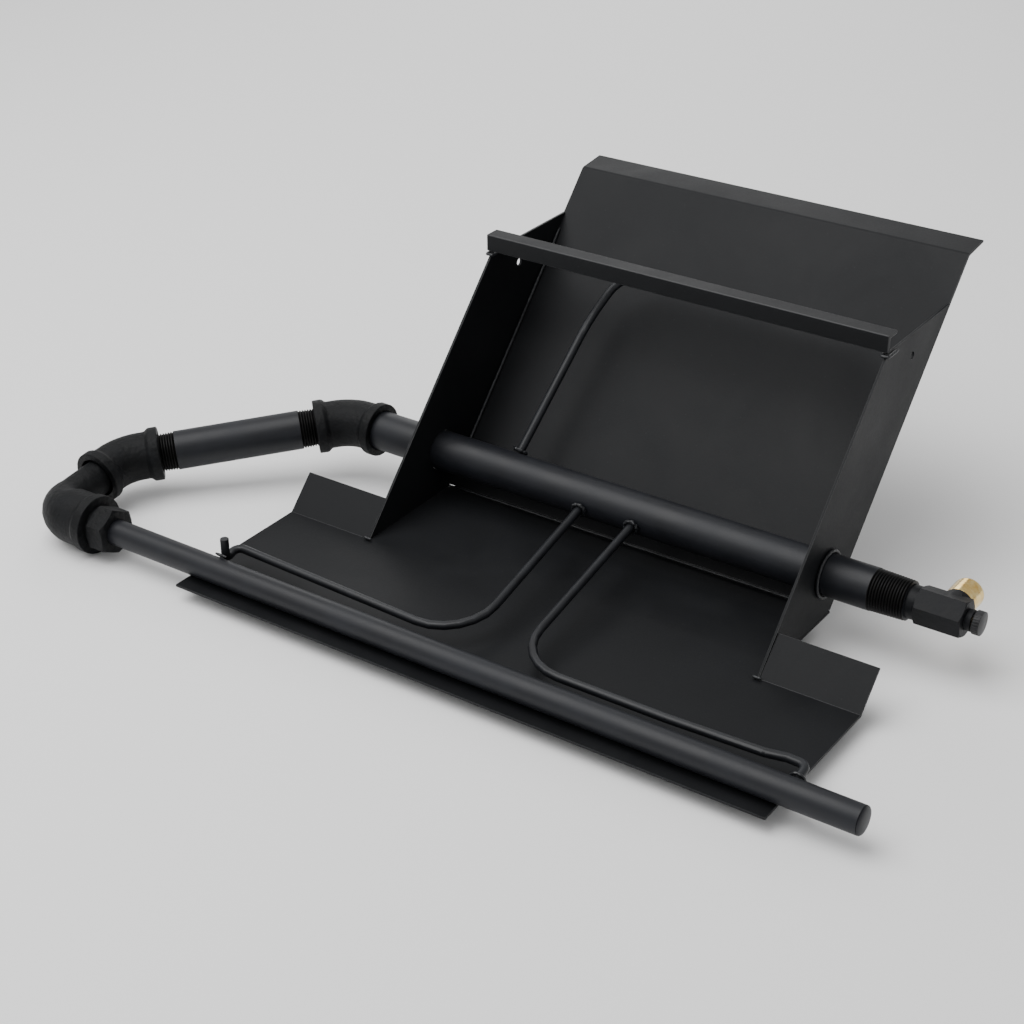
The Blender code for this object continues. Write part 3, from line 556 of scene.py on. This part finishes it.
bpy.ops.object.select_all(action="DESELECT")
bpy.ops.mesh.primitive_cylinder_add(
    vertices=2 * RIBS, radius=KNOB_RADIUS, depth=KNOB_LENGTH - 2 * END_CHAMFER, location=KNOB_CENTRE,
    rotation=(0, math.pi / 2, 0),
)
knob = bpy.context.object
knob.name = "ribbed_knob"
knob.data.name = "ribbed_knob"
bpy.ops.object.transform_apply(location=True, rotation=True, scale=True)
bpy.ops.object.mode_set(mode="EDIT")
bpy.ops.mesh.select_all(action="DESELECT")
shape = bmesh.from_edit_mesh(knob.data)
sides = [face for face in shape.faces if abs(face.normal.x) < 0.5]
sides.sort(key=lambda face: math.atan2(face.normal.z, face.normal.y))
for face in sides[::2]:
    face.select = True
bmesh.update_edit_mesh(knob.data)
bpy.ops.mesh.inset(thickness=RIB_SHOULDER, depth=-RIB_DEPTH, use_individual=True)
for end in (-1, 1):
    bpy.ops.mesh.select_all(action="DESELECT")
    shape = bmesh.from_edit_mesh(knob.data)
    shape.faces.ensure_lookup_table()
    for face in shape.faces:
        face.select = face.normal.x * end > 0.9 and face.calc_area() > KNOB_RADIUS ** 2
    bmesh.update_edit_mesh(knob.data)
    bpy.ops.mesh.extrude_region_move(TRANSFORM_OT_translate={"value": (end * END_CHAMFER, 0, 0)})
    shrink = 1 - END_CHAMFER / KNOB_RADIUS
    bpy.ops.transform.resize(
        value=(1, shrink, shrink),
        center_override=(KNOB_CENTRE.x, KNOB_CENTRE.y, KNOB_CENTRE.z),
    )
    if end == 1:
        bpy.ops.mesh.inset(thickness=KNOB_RADIUS * FACE_RIM_SHARE, depth=0)
        bpy.ops.mesh.extrude_region_move(TRANSFORM_OT_translate={"value": (-FACE_RECESS, 0, 0)})
bpy.ops.object.mode_set(mode="OBJECT")
knob.data.materials.append(KNOB_PLASTIC)
only(knob)
softening = knob.modifiers.new("moulded edge", "BEVEL")
softening.width = MOULDED_EDGE
softening.segments = 2
softening.limit_method = "ANGLE"
softening.angle_limit = math.radians(35)
bpy.ops.object.modifier_apply(modifier=softening.name)
bpy.ops.object.shade_smooth_by_angle(angle=math.radians(40))
finish_off(knob, "valve_knob")
print("knob of", round(2000 * KNOB_RADIUS, 1), "mm with", RIBS, "ribs")

# %% [markdown]
# ## Floor, world and lights
#
# The stand is black, so the light decides what can be seen. A wide soft lamp above, to the left, lights
# every top edge and keeps the right end's faces dark. A weak one behind lights the hood's back, and a
# weaker one from the front left fills the tray. The floor is a plain pale sheet, and the world is a dim
# white that fills the shadows.

# %% Studio
FLOOR_GAP = 0.0005
FLOOR_SIZE = 12
FLOOR_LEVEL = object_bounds()[0][2] - FLOOR_GAP
bpy.ops.object.select_all(action="DESELECT")
bpy.ops.mesh.primitive_plane_add(size=FLOOR_SIZE, location=(0, 0, FLOOR_LEVEL))
floor = bpy.context.object
floor.name = "studio_floor"
paper = bpy.data.materials.new("plain pale floor")
paper.use_nodes = True
paper_shader = paper.node_tree.nodes["Principled BSDF"]
paper_shader.inputs["Base Color"].default_value = linear("#f4f4f4")
paper_shader.inputs["Roughness"].default_value = 0.9
floor.data.materials.append(paper)

world = bpy.data.worlds.new("studio")
bpy.context.scene.world = world
world.use_nodes = True
WORLD_STRENGTH = 0.6
background = world.node_tree.nodes["Background"]
background.inputs["Color"].default_value = (1, 1, 1, 1)
background.inputs["Strength"].default_value = WORLD_STRENGTH


def soft_lamp(name, place, target, size, watts):
    """A square soft lamp that faces a point."""
    data = bpy.data.lights.new(name, "AREA")
    data.shape = "SQUARE"
    data.size = size
    data.energy = watts
    lamp = bpy.data.objects.new(name, data)
    bpy.context.scene.collection.objects.link(lamp)
    away = Vector(place) - Vector(target)
    lamp.matrix_world = Matrix.Translation(place) @ away.to_track_quat("Z", "Y").to_matrix().to_4x4()


soft_lamp("top_lamp", (-0.75, -0.5, 2.3), (0, 0.05, 0.05), 2.2, 66)
soft_lamp("back_lamp", (-1.2, 1.9, 1.1), (0, 0.2, 0.1), 1.2, 9)
soft_lamp("front_lamp", (-0.9, -1.6, 1.5), (0, 0, 0.05), 1.2, 6)
print("floor at", round(FLOOR_LEVEL, 4))
